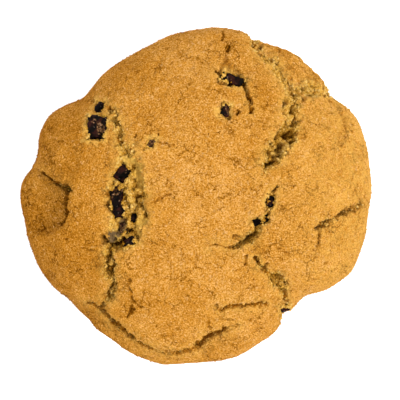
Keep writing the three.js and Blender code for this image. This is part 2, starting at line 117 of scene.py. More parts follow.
# Cracks: the route's points x, y and half the crack's width there; the depth at the widest point,
# before all of them are deepened; how much the crust on the left and on the right of the route is
# lifted, how far it leans out over the crack, and how wide the slope down into it is; how much pale
# crust borders it; how moist its inside is where it is wide; and how dark its inside is coloured where
# it isn't moist, partly browning and partly painted shade.
plain_crack = dict(lift=(0, 0), lean=(0, 0), slope=(0.3, 0.3), pale=0, moist=1, browned_and_shaded=1)
deepening = 1.45
edge_roll = 0.15
cracks = [
    # The shallow, crumbly top of the left split.
    dict(depth=0.9, lift=(0.1, 0), pale=0.8, route=[
        (-21.5, 21.8, 0.3), (-20.6, 19.8, 0.9), (-19.5, 17, 0.9), (-18.8, 13.3, 0.9), (-17.3, 11.5, 0.8),
        (-15.4, 10.9, 0.3),
    ]),
    # The left split, wide and open to the crumb.
    dict(depth=1.35, lift=(0.35, 0.1), lean=(0.3, 0.2), slope=(0.6, 4.4), pale=0.8, route=[
        (-15.6, 12.2, 0.7), (-16.8, 9, 2.7), (-16.9, 4, 3.9), (-17.1, -1, 4.3), (-17.1, -6, 4.2),
        (-18.6, -9.6, 3.6), (-21, -11.6, 1.7),
    ]),
    # Deep gaps along the chunks in it.
    dict(depth=2.6, pale=0.4, route=[
        (-20.9, 3.6, 0.15), (-22, 0.6, 0.2), (-21.9, -2.4, 0.25), (-20.6, -5, 0.2),
    ]),
    dict(depth=2.8, pale=0.2, route=[
        (-17.6, 2, 0.15), (-17.4, -1, 0.2), (-16.6, -3.2, 0.25), (-16.3, -6.4, 0.35), (-17, -8.6, 0.4),
    ]),
    dict(depth=1.6, pale=0.2, route=[(-15, 3.6, 0.15), (-14.3, 1.2, 0.3), (-14.6, -1.6, 0.25)]),
    # Its tail, down to the front rim.
    dict(depth=2.1, lift=(0.35, 0), lean=(0.3, 0.1), slope=(0.9, 0.4), pale=0.6, route=[
        (-21.2, -11, 1.2), (-21.6, -14.2, 1.4), (-21.5, -17, 1.6), (-20.8, -19.9, 1), (-20.9, -22.3, 1),
        (-21.6, -24.1, 1.2), (-23, -26.2, 0.5),
    ]),
    # The long crack that lifts the crown off its front rim.
    dict(depth=1.7, lift=(0.6, 0), lean=(0.4, 0), slope=(0.3, 0.5), moist=0.1, browned_and_shaded=0.7, pale=0.6, route=[
        (-27.6, -25.9, 0.2), (-24.6, -27, 0.35), (-22.4, -29, 0.4), (-21, -30.9, 0.6), (-18.2, -32.8, 0.4),
        (-16.5, -34.2, 0.4), (-14.9, -35.5, 0.6), (-13, -36.9, 0.6), (-9.6, -38.2, 0.4),
        (-6.8, -38.6, 0.4), (-4, -38.6, 0.7), (-1.6, -37.8, 0.6), (0.2, -36.6, 1), (1.7, -35, 0.7),
        (4.7, -33.7, 0.5), (7.8, -32.2, 0.4), (10.2, -31.4, 0.2),
    ]),
    # The right split, from the upper shelf to the middle of the crown.
    dict(depth=1.2, lift=(0, 0.25), lean=(0.1, 0.3), slope=(0.7, 0.5), pale=0.9, route=[
        (13.4, 41.5, 0.4), (15, 36.3, 0.6), (18.6, 33.2, 0.8), (21, 29.5, 1), (23, 26.4, 1.3),
        (23.2, 24, 2), (22.8, 21, 1.7), (22.9, 18.6, 1.9), (22, 15.9, 2.3), (20.7, 13.2, 2.3),
        (19.3, 11, 2.1), (17.9, 9.1, 1.6), (16.6, 7.7, 1), (16, 6, 0.3),
    ]),
    dict(depth=2.5, route=[
        (24.2, 25.4, 0.2), (24.2, 23.8, 0.6), (23.6, 22.4, 0.2), (24.3, 20.6, 0.3), (24.4, 18.2, 0.2),
        (23.5, 16.4, 0.8), (22, 15.6, 0.8), (20.6, 14.6, 0.4), (19.9, 12.4, 0.3), (20, 10.4, 0.7),
        (18.6, 9.6, 0.7), (17.2, 8.6, 0.5), (16.6, 7.2, 0.4),
    ]),
    dict(depth=1, pale=0.2, route=[(22.7, 15, 0.35), (24.3, 16.4, 0.3), (25, 17.6, 0.1)]),
    dict(depth=1.8, lift=(0.1, 0.35), lean=(0.1, 0.25), slope=(0.4, 0.7), pale=0.7, route=[
        (19.9, 2.8, 0.2), (18.3, 0.9, 0.5), (18, -1, 0.7), (17.4, -3.4, 0.7), (16.2, -5.2, 0.8),
        (14.8, -6, 0.7), (14.4, -8.2, 0.8), (13.2, -9.7, 0.9), (11.6, -11, 0.9), (9.5, -11.8, 0.5),
        (7.3, -11.9, 0.2), (5.2, -11.6, 0.2), (3, -11.9, 0.1),
    ]),
    dict(depth=0.9, pale=0.4, route=[(10.3, -12, 0.3), (10.2, -10.6, 0.25), (8.8, -9.5, 0.15)]),
    # The crack to the notch in the lower right rim.
    dict(depth=2, lift=(0.1, 0.2), slope=(0.4, 0.6), pale=0.8, route=[
        (13.9, -14.7, 0.2), (15.2, -16.7, 0.5), (16.6, -17.8, 0.5), (18, -19, 0.4), (19.5, -20.3, 1),
        (20.8, -22, 1.2), (21.2, -23.3, 0.7), (21.8, -24.9, 0.35), (21.9, -26.6, 0.3), (21.9, -28.4, 1),
        (22.6, -31, 1.2),
    ]),
    dict(depth=0.8, pale=0.1, route=[(16.2, -17.6, 0.2), (16.8, -16.4, 0.25), (17, -15.6, 0.15)]),
    dict(depth=1.3, lift=(0.3, 0), slope=(0.3, 0.6), browned_and_shaded=0.8, pale=0.6, route=[
        (4.8, -26.7, 0.15), (6, -27.7, 0.2), (7.5, -26.8, 0.25), (9.8, -26.8, 0.3), (11.3, -27, 0.45),
        (12.8, -26.3, 0.25), (14.3, -26.5, 0.35), (15.4, -26.2, 0.25), (17, -26.5, 0.1),
    ]),
    dict(depth=1.7, lift=(0.3, 0), moist=0.2, pale=0.8, route=[
        (29.2, -7.5, 0.3), (31.2, -6.3, 0.4), (32.8, -5.7, 0.3), (35.5, -4.3, 0.4), (38.5, -3, 0.5),
        (41, -1.6, 0.4),
    ]),
    dict(depth=0.5, browned_and_shaded=0.8, pale=0.4, route=[
        (29.7, -7.2, 0.2), (29.8, -11, 0.12), (28.8, -14.8, 0.06),
    ]),
    # The raised flap near the top edge: a three-cornered dent, and the dark gap along its lip.
    dict(depth=1.1, slope=(0.6, 0.5), moist=0, browned_and_shaded=0.3, route=[
        (6.9, 34.8, 0.1), (7.2, 33.4, 0.9), (7.6, 31.8, 1.9), (8, 30.2, 2.8),
    ]),
    dict(depth=2.2, lift=(0, 0.35), lean=(0, 0.4), pale=0.5, route=[
        (4, 31.2, 0.2), (5.3, 30.2, 0.4), (7, 29.7, 0.6), (8.8, 28.8, 1), (10.5, 28.4, 1.2),
        (11.3, 26.9, 0.6), (12.1, 25.2, 0.45), (12.8, 22.8, 0.3), (12.9, 20.8, 0.15),
    ]),
    dict(depth=1.8, lift=(0.1, 0.1), pale=0.1, route=[
        (6.3, 22.7, 0.4), (6.9, 21.2, 0.9), (7.4, 19.6, 0.35),
    ]),
    # The edge of the apron on the left, under the lobe above it.
    dict(depth=2.4, lift=(0.5, 0), lean=(0.6, 0), pale=0.3, route=[
        (-38.4, 6.2, 0.2), (-36.1, 4.8, 0.35), (-33.9, 3.5, 0.55), (-32.3, 2.8, 0.8), (-31.2, 2.2, 0.35),
    ]),
    dict(depth=1, lift=(0.3, 0), lean=(0.3, 0), pale=0.1, route=[
        (-31.5, 2, 0.35), (-32.1, 0, 0.3), (-32.3, -2.6, 0.3), (-32.4, -5.2, 0.2), (-34, -7.4, 0.15),
    ]),
    # The deep gap under the tongue of crumb at the foot of the left split.
    dict(depth=4.2, pale=0.3, route=[
        (-23.3, -9.8, 0.3), (-22.9, -10.9, 0.5), (-21.9, -11.7, 0.4), (-20.6, -12.2, 0.3),
        (-19.3, -12, 0.4), (-18, -11.2, 0.5),
    ]),
    # Hair cracks.
    dict(depth=0.45, browned_and_shaded=0.6, route=[
        (-16.8, -19.7, 0.05), (-16.6, -22, 0.1), (-16.2, -23.6, 0.12), (-15.7, -25.3, 0.1),
        (-13.7, -26.7, 0.1),
    ]),
    dict(depth=0.5, route=[(-15.7, -27.1, 0.3), (-16.9, -29.2, 0.1)]),
    dict(depth=0.7, route=[(6.4, 41.2, 0.2), (6, 39.3, 0.15)]),
    dict(depth=0.6, route=[(7.8, 37.3, 0.25), (7.2, 36.1, 0.2)]),
    dict(depth=0.35, browned_and_shaded=0.5, route=[(19.4, -11.8, 0.05), (20.8, -12.8, 0.08), (22.2, -13.9, 0.05)]),
    # The edge of the right-hand lobe, and the torn strip from it to the right split.
    dict(depth=0.8, lift=(0, 0.2), slope=(0.9, 0.6), pale=1, route=[
        (23.6, 25.4, 0.6), (26.4, 26.6, 1.5), (29.4, 26.7, 1.4), (32.6, 25.6, 0.5),
    ]),
    dict(depth=0.35, lift=(0, 0.35), browned_and_shaded=0.2, pale=0.4, route=[
        (33.2, 24.4, 0.2), (35.6, 21, 0.2), (36.9, 16.6, 0.25), (35.6, 13.2, 0.2), (33, 12.2, 0.12),
    ]),
    # Small cracks right of the left split.
    dict(depth=0.3, browned_and_shaded=0.4, route=[(-11.4, -1.6, 0.06), (-9, -0.2, 0.08), (-6.2, 1, 0.05)]),
    dict(depth=0.4, browned_and_shaded=0.6, pale=0.2, route=[
        (-9.8, 14.2, 0.1), (-7.2, 12.6, 0.12), (-5.6, 12.9, 0.06),
    ]),
    dict(depth=0.5, route=[(2.4, -29.8, 0.12), (2.3, -31.4, 0.2), (3, -32.2, 0.12)]),
    dict(depth=0.4, pale=0.1, route=[(12.3, -14.3, 0.15), (11.5, -16.2, 0.1)]),
]

# Lumps of crumb that stand up in the cracks: x, y, half length, half width, turn, height.
crumb_lumps = [
    (-16.6, -1, 5.4, 1, 92, 1.7), (-17.4, 3.6, 1.4, 0.9, 20, 1.6), (-20.6, -10.1, 2.3, 1.5, 25, 1.9),
    (-19, -8.2, 1.6, 0.7, 55, 1.5), (-21.6, -17, 1.6, 1.3, 100, 1.4),
    (-21.6, -13.4, 1.3, 0.9, 60, 1), (-21.4, -20.6, 1.2, 0.8, 90, 0.9), (22.6, 19.8, 1.3, 1, 70, 1.4),
    (21.6, 11.6, 1.9, 0.9, 60, 1.2), (16.8, -3.9, 1, 0.6, 30, 1.2), (20.6, -21.4, 1.2, 0.8, -45, 1),
    (-20.2, 16, 1, 0.6, 60, 0.6), (-19.2, 12.2, 0.9, 0.6, 20, 0.6), (23.2, 24, 0.9, 0.6, 0, 0.8),
    (27.4, 26.8, 2.4, 1, 5, 0.6),
]

# Small holes in the crust, coloured dark inside with painted shade: x, y, radius, depth.
pit_edge = 0.4
pits = [
    (-19.3, 15.4, 0.35, 1.35), (-18.9, 13.4, 0.45, 1.5), (-17.4, 12.1, 0.3, 0.9), (-10.6, 14, 0.4, 1.2),
    (-9.5, 15.6, 0.3, 0.9), (-15.4, 15, 0.3, 0.9), (9.9, 20.8, 0.5, 1.35), (23.6, 19.4, 0.35, 1.35),
    (26.2, 26.2, 0.35, 1.2), (28.6, 26, 0.35, 1.2), (26.4, 24.2, 0.3, 1.05), (19.8, 33.2, 0.4, 1.35),
    (15.8, 38, 0.5, 1.05), (16.9, 7.4, 0.3, 1.05), (23.5, 2.6, 0.3, 0.75), (22.2, -21.6, 0.35, 1.2),
    (-12.3, 12.2, 0.5, 0.75), (-13, 11.4, 0.35, 0.6), (-23.9, -26.4, 0.4, 1.2), (-10.4, -31.6, 0.3, 0.75),
    (15.2, 3, 0.3, 0.6), (31.6, -16.4, 0.4, 0.75),
]

# Patches that are darker (or, below zero, paler), partly browning and partly painted shade on the left
# of the crown and painted light on its middle and right: x, y, reach, amount.
browned_and_painted_light_patches = [
    (-38, -1, 9, 0.06), (-31, 12, 10, 0.08), (-31, -14, 12, 0.1), (-24, -31, 7, 0.12),
    (-12, -0.8, 2.8, 0.2), (14.5, -12.5, 2.2, 0.22), (-24, -17, 2, 0.2), (10.5, 38, 4, 0.1),
    (22.5, 34, 5, 0.05), (-14.5, 19, 4, 0.12), (34, 6, 10, -0.04), (24, -20, 9, -0.04), (2, 2, 13, -0.06),
    (5.5, -21, 7, -0.03), (-21, 7.5, 1.8, 0.2), (16.5, 24.5, 3, 0.12), (31, -22, 4, 0.06),
    (-17.5, 32, 6, 0.1), (-4, 12, 8, -0.03), (18.6, 6.6, 1.6, 0.14), (25.2, 15, 1.6, 0.14),
    (5, -37, 8, 0.04), (34, -16, 8, -0.03), (5, -24, 6, -0.02),
]

# Crumb that tore smoothly and shows no bubbles: x, y, half length, half width, turn, amount.
smooth_crumb = [
    (-14.3, 7.4, 5.6, 1.7, 86, 1), (-13.8, -7.4, 3, 1.9, 80, 1), (-20.6, -10.1, 2.6, 1.8, 25, 1),
    (-16.6, 9.3, 2.6, 1.3, 20, 1),
]

# Crumb that melted chocolate stained: x, y, half length, half width, turn, amount.
stained_crumb = [
    (-20.9, -9.7, 2.9, 1.8, 25, 1), (-18.7, -7, 2.4, 1.6, 80, 0.9), (-21.4, -15, 1.8, 1, 90, 0.3),
    (-20.2, 4.6, 1.2, 0.9, 0, 0.5), (-22, -3.8, 0.7, 2, 0, 0.4), (20.6, 12, 4.6, 1.6, 62, 0.3),
    (12.6, -10.2, 2.6, 0.9, 40, 0.4),
]

# Crumb smeared over the chunks: x, y, half length, half width, turn.
chunk_smears = [
    (-21.9, 17.8, 0.5, 1, 10), (-26.9, 15, 0.5, 0.5, 0), (-21.3, 2.7, 0.9, 1, 0),
    (-21.9, -3.6, 0.5, 1.2, 10), (-17.9, -4.6, 0.35, 1, -10), (-16.9, 7.6, 0.7, 0.5, 0),
    (-18.2, -10.9, 0.9, 0.6, 20), (-15.2, -10.3, 0.6, 0.6, 0), (-27.2, 20.6, 0.9, 0.7, 0),
    (-22.3, 15.4, 0.5, 1.4, 0), (-17.6, 3, 2, 0.6, 25), (-17.9, -1, 0.4, 1.6, 0),
    (-21.3, -6.2, 0.8, 1.4, 0), (-17.4, -6.8, 0.4, 2.4, -15), (-19.3, -5.6, 1.4, 0.4, -20),
    (-17.9, -9.4, 0.6, 1, 30), (6.9, 28, 2.4, 1, -25), (10.6, 30.2, 1.8, 0.8, -25),
    (9, 21.2, 0.6, 1.4, 0), (8, 19.4, 0.6, 0.6, 0), (5.9, 22.6, 0.8, 0.5, 40),
    (6, 19.9, 0.7, 0.5, -40), (7.9, 22.9, 0.6, 0.5, 0), (-16.6, -12.5, 2.2, 1, 0),
    (16.9, -0.6, 0.5, 1.4, 0), (16.1, -5.3, 0.7, 1.1, 15), (13.3, -6.6, 0.6, 0.6, 0),
    (5.9, 30.2, 1.3, 0.7, -10), (22.3, -26.7, 2, 0.8, 0), (22, -29.4, 2, 0.7, 0),
]

# The line of the left split down the crown, left of which the crust is browner: x, y, 0.
split_line = [
    (-26, 30, 0), (-21, 20, 0), (-16.5, 9, 0), (-14.5, 0, 0), (-16, -9, 0), (-20, -18, 0), (-24, -28, 0),
]

# Where chunks lie in the crown and in the wall: how much the edge of the pocket wavers, how far the
# chunk shows past its own outline, how much crumb and pale crust is round it, and what is smeared.
crown_pocket = dict(waver=0.5, past_hull=0.12, crumb=1, pale=0.8, smears=chunk_smears)
side_pocket = dict(waver=0.95, past_hull=-0.35, crumb=0.35, pale=0.15, smears=[])
pocket_reach = 12
pocket_below = 7
pocket_edge_depth = 0.45
pocket_more_depth = 0.9
cover_height = 0.35

# Browning: per millimetre to the left, left of the split, at the rim and per millimetre to its left,
# where the crust scorched, under the rim, on the wall, and at the foot of the wall. The darkening to the
# left, left of the split and on the left of the rim is partly browning and partly painted shade of the
# side away from the key light; the scorch is partly painted shade in narrow cracks and pits. A painted
# highlight pales the right of the crown, from an x and over a reach, with the browning and the pale share
# it brings.
left_browning_and_shade = 0.0006
split_browning_and_shade = 0.04
rim_browning = 0.05
left_rim_browning_and_shade = 0.0035
scorch_and_shade_browning = 0.5
under_rim_browning = 0.14
wall_browning = 0.12
foot_browning = 0.34
# A painted highlight on the right of the crown: paler, duller colour where the key light falls.
painted_right_highlight = dict(x=14, reach=28, browning=0.11, pale=0.5)

# Uneven surfaces, edges and colours are made of layers of lumps: height, size across, seed.
broad_relief = [(0.55, 13, 1), (0.36, 6, 2)]
crust_relief = [(0.22, 2.8, 3), (0.14, 1.5, 4), (0.12, 0.9, 5)]
torn_relief = [(0.5, 2.6, 6), (0.45, 1.2, 7)]
wrinkle_zones = [(1.4, 7, 15)]
wrinkles = [(0.26, 3.4, 16), (0.15, 1.9, 17)]
border_waver = [(0.55, 2.6, 11), (0.42, 1.1, 13), (0.24, 0.6, 9)]
depth_swing = [(1.2, 1.5, 18)]
width_swing = [(0.7, 2.2, 19)]
torn_islands = [(0.9, 2.4, 21)]
crumb_relief = [(0.5, 1.8, 22), (0.4, 0.9, 23)]
wall_lumps = [(0.25, 9, 31), (0.12, 2.5, 32)]
pocket_waver = [(1, 1.9, 41), (0.5, 0.7, 43)]
cover_relief = [(0.25, 1.2, 45), (0.2, 0.6, 46)]
halo_waver = [(0.7, 1.2, 47)]
wide_halo_waver = [(1, 1.6, 48)]
browning_lumps = [(0.07, 11, 51), (0.06, 4, 52)]
streak_lumps = [(0.1, 5, 53)]
wrinkle_width = 0.42
rim_smoothness = 0.75
rim_smooth_width = 3

# Burst bubbles: how far apart they lie, seed, and radius and width of the edge as shares of that.
torn_bubbles = (2, 8, 0.45, 0.3)
crumb_bubbles = (1.5, 24, 0.44, 0.25)
small_crumb_bubbles = (0.9, 25, 0.4, 0.25)
wall_bubbles = (2.9, 33, 0.32, 0.16)


def ease(value):
    """Goes smoothly from 0 to 1 as value does, and stays there outside."""
    held = np.clip(value, 0, 1)
    return held * held * (3 - 2 * held)


def outline_radius(turn):
    """Radius of the crown's outline in the directions turn (degrees): a smooth closed curve."""
    angle, radius = np.array(crown_outline).T
    angle = np.concatenate([angle[-2:] - 360, angle, angle[:2] + 360])
    radius = np.pad(radius, 2, mode="wrap")
    slope = (radius[2:] - radius[:-2]) / (angle[2:] - angle[:-2])
    angle, radius = angle[1:-1], radius[1:-1]
    turn = (turn - angle[0]) % 360 + angle[0]
    i = np.clip(np.searchsorted(angle, turn, side="right") - 1, 0, len(angle) - 2)
    span = angle[i + 1] - angle[i]
    u = (turn - angle[i]) / span
    start = (2 * u**3 - 3 * u**2 + 1) * radius[i] + (u**3 - 2 * u**2 + u) * slope[i] * span
    return start + (3 * u**2 - 2 * u**3) * radius[i + 1] + (u**3 - u**2) * slope[i + 1] * span


def rim_level(turn):
    """Height of the crown's widest line, which sways a little round the muffin."""
    angle = np.radians(turn)
    return rim_height + 0.8 * np.sin(2 * angle + 0.6) + 0.5 * np.sin(3 * angle - 1.2)


def crown_stretch(share, turn):
    """Radius, height and unrolled radius on the dome, from the pole to the rim."""
    rim = outline_radius(turn)
    out = np.sin(share * np.pi / 2)
    dome = np.sqrt(np.maximum(0, 1 - out**dome_power))
    return out * rim, rim_level(turn) * (1 - dome) + (rim_height + crown_rise) * dome, out * rim


def under_rim_stretch(share, turn):
    """The same below the rim, back in to the wall."""
    rim = outline_radius(turn)
    bend = share * np.pi / 2
    radius = rim + (lip_radius - rim) * (1 - np.cos(bend)) ** 0.8
    top = rim_level(turn)
    return radius, top - (top - lip_height) * np.sin(bend), rim + share * under_rim_unrolled


def wall_stretch(share, turn):
    """The same down the tapered wall."""
    radius = lip_radius + (base_radius - lip_radius) * share
    return radius, lip_height + (base_edge_round - lip_height) * share, radius + tin_unrolled


def base_edge_stretch(share, turn):
    """The same round the edge of the base."""
    bend = share * np.pi / 2
    radius = base_radius - base_edge_round * (1 - np.cos(bend))
    return radius, base_edge_round * (1 - np.sin(bend)), radius + tin_unrolled


def base_stretch(share, turn):
    """The same across the flat base, to its middle."""
    radius = (base_radius - base_edge_round) * (1 - share)
    return radius, 0.0, radius + tin_unrolled


def ring(stretch, share, turn):
    """One ring of a stretch: radius, height and unrolled radius in each of the directions turn."""
    return np.broadcast_arrays(*stretch(share, turn), turn)[:3]


stretches = [
    (crown_stretch, crown_spacing), (under_rim_stretch, under_rim_spacing), (wall_stretch, wall_spacing),
    (base_edge_stretch, wall_spacing), (base_stretch, base_spacing),
]
CROWN, UNDER_RIM, WALL = range(3)
rings = []
for zone, (stretch, spacing) in enumerate(stretches):
    fine = np.linspace(0, 1, 800)
    path = np.array([ring(stretch, share, np.zeros(1)) for share in fine])[:, :, 0]
    walked = np.concatenate([[0], np.cumsum(np.hypot(*np.diff(path[:, :2], axis=0).T))])
    count = max(2, round(walked[-1] / spacing))
    for step in range(0 if zone == CROWN else 1, count + 1):
        share = np.interp(walked[-1] * step / count, walked, fine)
        girth = 2 * np.pi * np.interp(share, fine, path[:, 0])
        size = max(6, round(girth / spacing)) if girth > spacing else 1
        turn = np.arange(size) * 360 / size
        rings.append(np.stack([*ring(stretch, share, turn), turn, np.full(size, zone)]))
ring_sizes = [made.shape[1] for made in rings]
radius, height, unrolled, turn, zone = np.concatenate(rings, axis=1)
turn = np.radians(turn)
outward = np.stack([np.cos(turn), np.sin(turn)], axis=1)
points = np.column_stack([outward * radius[:, None], height])
places = outward * unrolled[:, None]

# Each ring is zipped to the next with triangles, whatever their numbers of points.
faces = []
ring_start = np.concatenate([[0], np.cumsum(ring_sizes)])
for k in range(len(ring_sizes) - 1):
    upper, lower = ring_sizes[k], ring_sizes[k + 1]
    steps_up, steps_low = upper if upper > 1 else 0, lower if lower > 1 else 0
    i = j = 0
    while i < steps_up or j < steps_low:
        a = ring_start[k] + i % upper
        b = ring_start[k + 1] + j % lower
        if i < steps_up and (j >= steps_low or (i + 1) / upper <= (j + 1) / lower):
            i += 1
            faces.append((a, b, ring_start[k] + i % upper))
        else:
            j += 1
            faces.append((a, b, ring_start[k + 1] + j % lower))
faces = np.array(faces)


def point_normals(points, faces):
    """Unit normals at the points of a closed mesh of triangles."""
    corner = points[faces]
    cross = np.cross(corner[:, 1] - corner[:, 0], corner[:, 2] - corner[:, 0])
    total = np.zeros_like(points)
    for k in range(3):
        np.add.at(total, faces[:, k], cross)
    return total / np.maximum(np.linalg.norm(total, axis=1, keepdims=True), 1e-12)


def hashed(cell, seed):
    """Three even random numbers from -1 to 1 for each whole-numbered cell."""
    code = cell[:, 0] * 73856093 ^ cell[:, 1] * 19349663 ^ cell[:, 2] * 83492791 ^ (seed + 1) * 2654435761
    numbers = []
    for _ in range(3):
        code = (code ^ (code >> 13)) * 1274126177 & 0xFFFFFFFFFF
        code = (code ^ (code >> 16)) * 2246822519 & 0xFFFFFFFFFF
        numbers.append((code >> 8 & 0xFFFF) / 32767.5 - 1)
    return np.stack(numbers, axis=1)


def lumps(points, size, seed):
    """Smooth noise, about -1 to 1, with lumps about one size across."""
    cell = np.floor(points / size)
    part = points / size - cell
    fade = part**3 * (part * (part * 6 - 15) + 10)
    total = np.zeros(len(points))
    for corner in product((0, 1), repeat=3):
        corner = np.array(corner)
        weight = np.prod(np.where(corner, fade, 1 - fade), axis=1)
        slope = hashed((cell + corner).astype(np.int64), seed)
        total += weight * np.sum(slope * (part - corner), axis=1)
    return total * 1.5


def lump_layers(points, layers, variant=0):
    """Lumps of several sizes on top of each other."""
    return sum(height * lumps(points, size, seed + variant) for height, size, seed in layers)


def waver(points, layers):
    """A sideways shift of each point, in x and in y."""
    return np.stack([lump_layers(points, layers), lump_layers(points, layers, 1)], axis=1)


def bubbles(points, size, seed, radius, edge):
    """Scattered burst bubbles: 1 in the middle of one, 0 outside."""
    cell = np.floor(points / size).astype(np.int64)
    nearest = np.full(len(points), 9.0)
    for corner in product((-1, 0, 1), repeat=3):
        other = cell + np.array(corner)
        centre = other + 0.5 + 0.5 * hashed(other, seed)
        nearest = np.minimum(nearest, np.linalg.norm(points / size - centre, axis=1))
    return ease((radius - nearest) / edge)


def hill(places, x, y, reach):
    """A smooth round hill, 1 in its middle."""
    return np.exp(-(np.hypot(places[:, 0] - x, places[:, 1] - y) / reach) ** 2)


def raise_to(values, where, least):
    """Raises the values at some places to at least the given ones."""
    values[where] = np.maximum(values[where], least)


def smooth_route(route, step=0.25):
    """A list of points as a smooth curve through them, sampled about every step."""
    knots = np.array(route, float)
    knots = np.vstack([2 * knots[0] - knots[1], knots, 2 * knots[-1] - knots[-2]])
    samples = []
    for p0, p1, p2, p3 in zip(knots, knots[1:], knots[2:], knots[3:]):
        for u in np.linspace(0, 1, max(1, round(np.linalg.norm((p2 - p1)[:2]) / step)), endpoint=False):
            curve = 2 * p1 + (p2 - p0) * u + (2 * p0 - 5 * p1 + 4 * p2 - p3) * u**2
            samples.append((curve + (3 * p1 - p0 - 3 * p2 + p3) * u**3) / 2)
    return np.array(samples + [knots[-2]])


def beside_route(places, route, margin=14):
    """The places near a route: index, distance to its left, half width, and direction away from it."""
    line = smooth_route(route)
    low, high = line[:, :2].min(0) - margin, line[:, :2].max(0) + margin
    near = np.nonzero(np.all((places > low) & (places < high), axis=1))[0]
    start, along = line[:-1], np.diff(line, axis=0)
    offset = places[near][:, None] - start[None, :, :2]
    share = np.clip(np.sum(offset * along[:, :2], axis=2) / np.sum(along[:, :2] ** 2, axis=1), 0, 1)
    away = offset - share[:, :, None] * along[:, :2]
    distance = np.linalg.norm(away, axis=2)
    best = distance.argmin(axis=1)
    row = np.arange(len(near))
    side = along[best, 0] * away[row, best, 1] - along[best, 1] * away[row, best, 0]
    half = start[best, 2] + share[row, best] * along[best, 2]
    direction = away[row, best] / np.maximum(distance[row, best], 1e-6)[:, None]
    return near, np.where(side >= 0, 1, -1) * distance[row, best], half, direction


def split_in_four(faces, chosen, layers):
    """Splits the chosen triangles in four and their neighbours to match, with layers for new points."""
    pairs = np.sort(np.stack([faces, np.roll(faces, -1, axis=1)], axis=2).reshape(-1, 2), axis=1)
    edges, edge_of = np.unique(pairs, axis=0, return_inverse=True)
    edge_of = edge_of.reshape(-1, 3)
    split = np.zeros(len(edges), bool)
    split[edge_of[chosen]] = True
    middle = np.full(len(edges), -1)
    middle[split] = len(layers[0]) + np.arange(split.sum())
    layers = [np.concatenate([layer, layer[edges[split]].mean(axis=1)]) for layer in layers]
    middle = middle[edge_of]
    count = (middle >= 0).sum(axis=1)
    (a, b, c), (ab, bc, ca) = faces[count == 3].T, middle[count == 3].T
    made = [faces[count == 0]]
    made += map(np.transpose, ((a, ab, ca), (ab, b, bc), (ca, bc, c), (ab, bc, ca)))
    for k in range(3):
        chosen = (count == 1) & (middle[:, k] >= 0)
        (a, b, c), ab = np.roll(faces[chosen], -k, axis=1).T, middle[chosen, k]
        made += map(np.transpose, ((a, ab, c), (ab, b, c)))
        chosen = (count == 2) & (middle[:, k] < 0)
        (a, b, c) = np.roll(faces[chosen], -k - 1, axis=1).T
        (ab, bc, _) = np.roll(middle[chosen], -k - 1, axis=1).T
        made += map(np.transpose, ((ab, b, bc), (a, ab, bc), (a, bc, c)))
    return np.concatenate(made), layers


def inside_border(places, border):
    """Distance of each place inside a closed border (negative outside it)."""
    corner = np.array(border, float)
    along = np.roll(corner, -1, axis=0) - corner
    nearest = np.full(len(places), 1e9)
    inside = np.zeros(len(places), bool)
    for start, step in zip(corner, along):
        offset = places - start
        share = np.clip(offset @ step / (step @ step), 0, 1)
        nearest = np.minimum(nearest, np.linalg.norm(offset - share[:, None] * step, axis=1))
        spans = (start[1] > places[:, 1]) != (start[1] + step[1] > places[:, 1])
        reach = start[0] + step[0] * (places[:, 1] - start[1]) / (step[1] or 1e-9)
        inside ^= spans & (places[:, 0] < reach)
    return np.where(inside, nearest, -nearest)


def oval_share(places, x, y, length, width, turned):
    """How far each place is from the middle of an oval, as a share of the way to its edge."""
    angle = math.radians(turned)
    along = (places - (x, y)) @ (math.cos(angle), math.sin(angle)) / length
    aside = (places - (x, y)) @ (-math.sin(angle), math.cos(angle)) / width
    return np.hypot(along, aside)


def in_ovals(places, rows, outer, edge):
    """How far each place is inside the strongest of some ovals, times that one's amount."""
    inside = np.zeros(len(places))
    for *oval, amount in rows:
        inside = np.maximum(inside, amount * ease((outer - oval_share(places, *oval)) / edge))
    return inside


def vertex_values(mesh, name):
    """A vector of each vertex, such as its place or its normal."""
    flat = np.empty(len(mesh.vertices) * 3)
    mesh.vertices.foreach_get(name, flat)
    return flat.reshape(-1, 3)


def cad_points(name):
    """The vertices of a CAD node, in millimetres."""
    return vertex_values(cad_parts[name].data, "co") / MM


chunk_names = sorted(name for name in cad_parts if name.startswith("chunk_"))
detailed = np.zeros(len(points), bool)
for crack in cracks:
    near, side, half, _ = beside_route(places, crack["route"], margin=4)
    detailed[near] |= np.abs(side) - half < crack_margin
for name in chunk_names:
    chunk = cad_points(name)
    middle, size = (chunk.min(0) + chunk.max(0)) / 2, chunk.max(0) - chunk.min(0)
    detailed |= np.linalg.norm(points - middle, axis=1) < chunk_margin * np.linalg.norm(size)
for part in sunken_parts:
    if part["rough"] > 0.5:
        detailed |= (inside_border(places, part["border"]) > -sunken_margin) & (zone == CROWN)
faces, (points, places, zone) = split_in_four(faces, detailed[faces].all(axis=1), [points, places, zone])
zone = np.floor(zone)  # a new point between two surfaces belongs to the upper one

normals = point_normals(points, faces)
on_crown = zone == CROWN
unrolled = np.linalg.norm(places, axis=1)
past_tin = np.maximum(0, crust_ends - unrolled)
above_wall = np.where(zone <= UNDER_RIM, ease(np.sqrt(past_tin / crust_fade)), 0)
height_share = np.clip(np.where(on_crown, (points[:, 2] - rim_height) / crown_rise, 0), 0, 1)

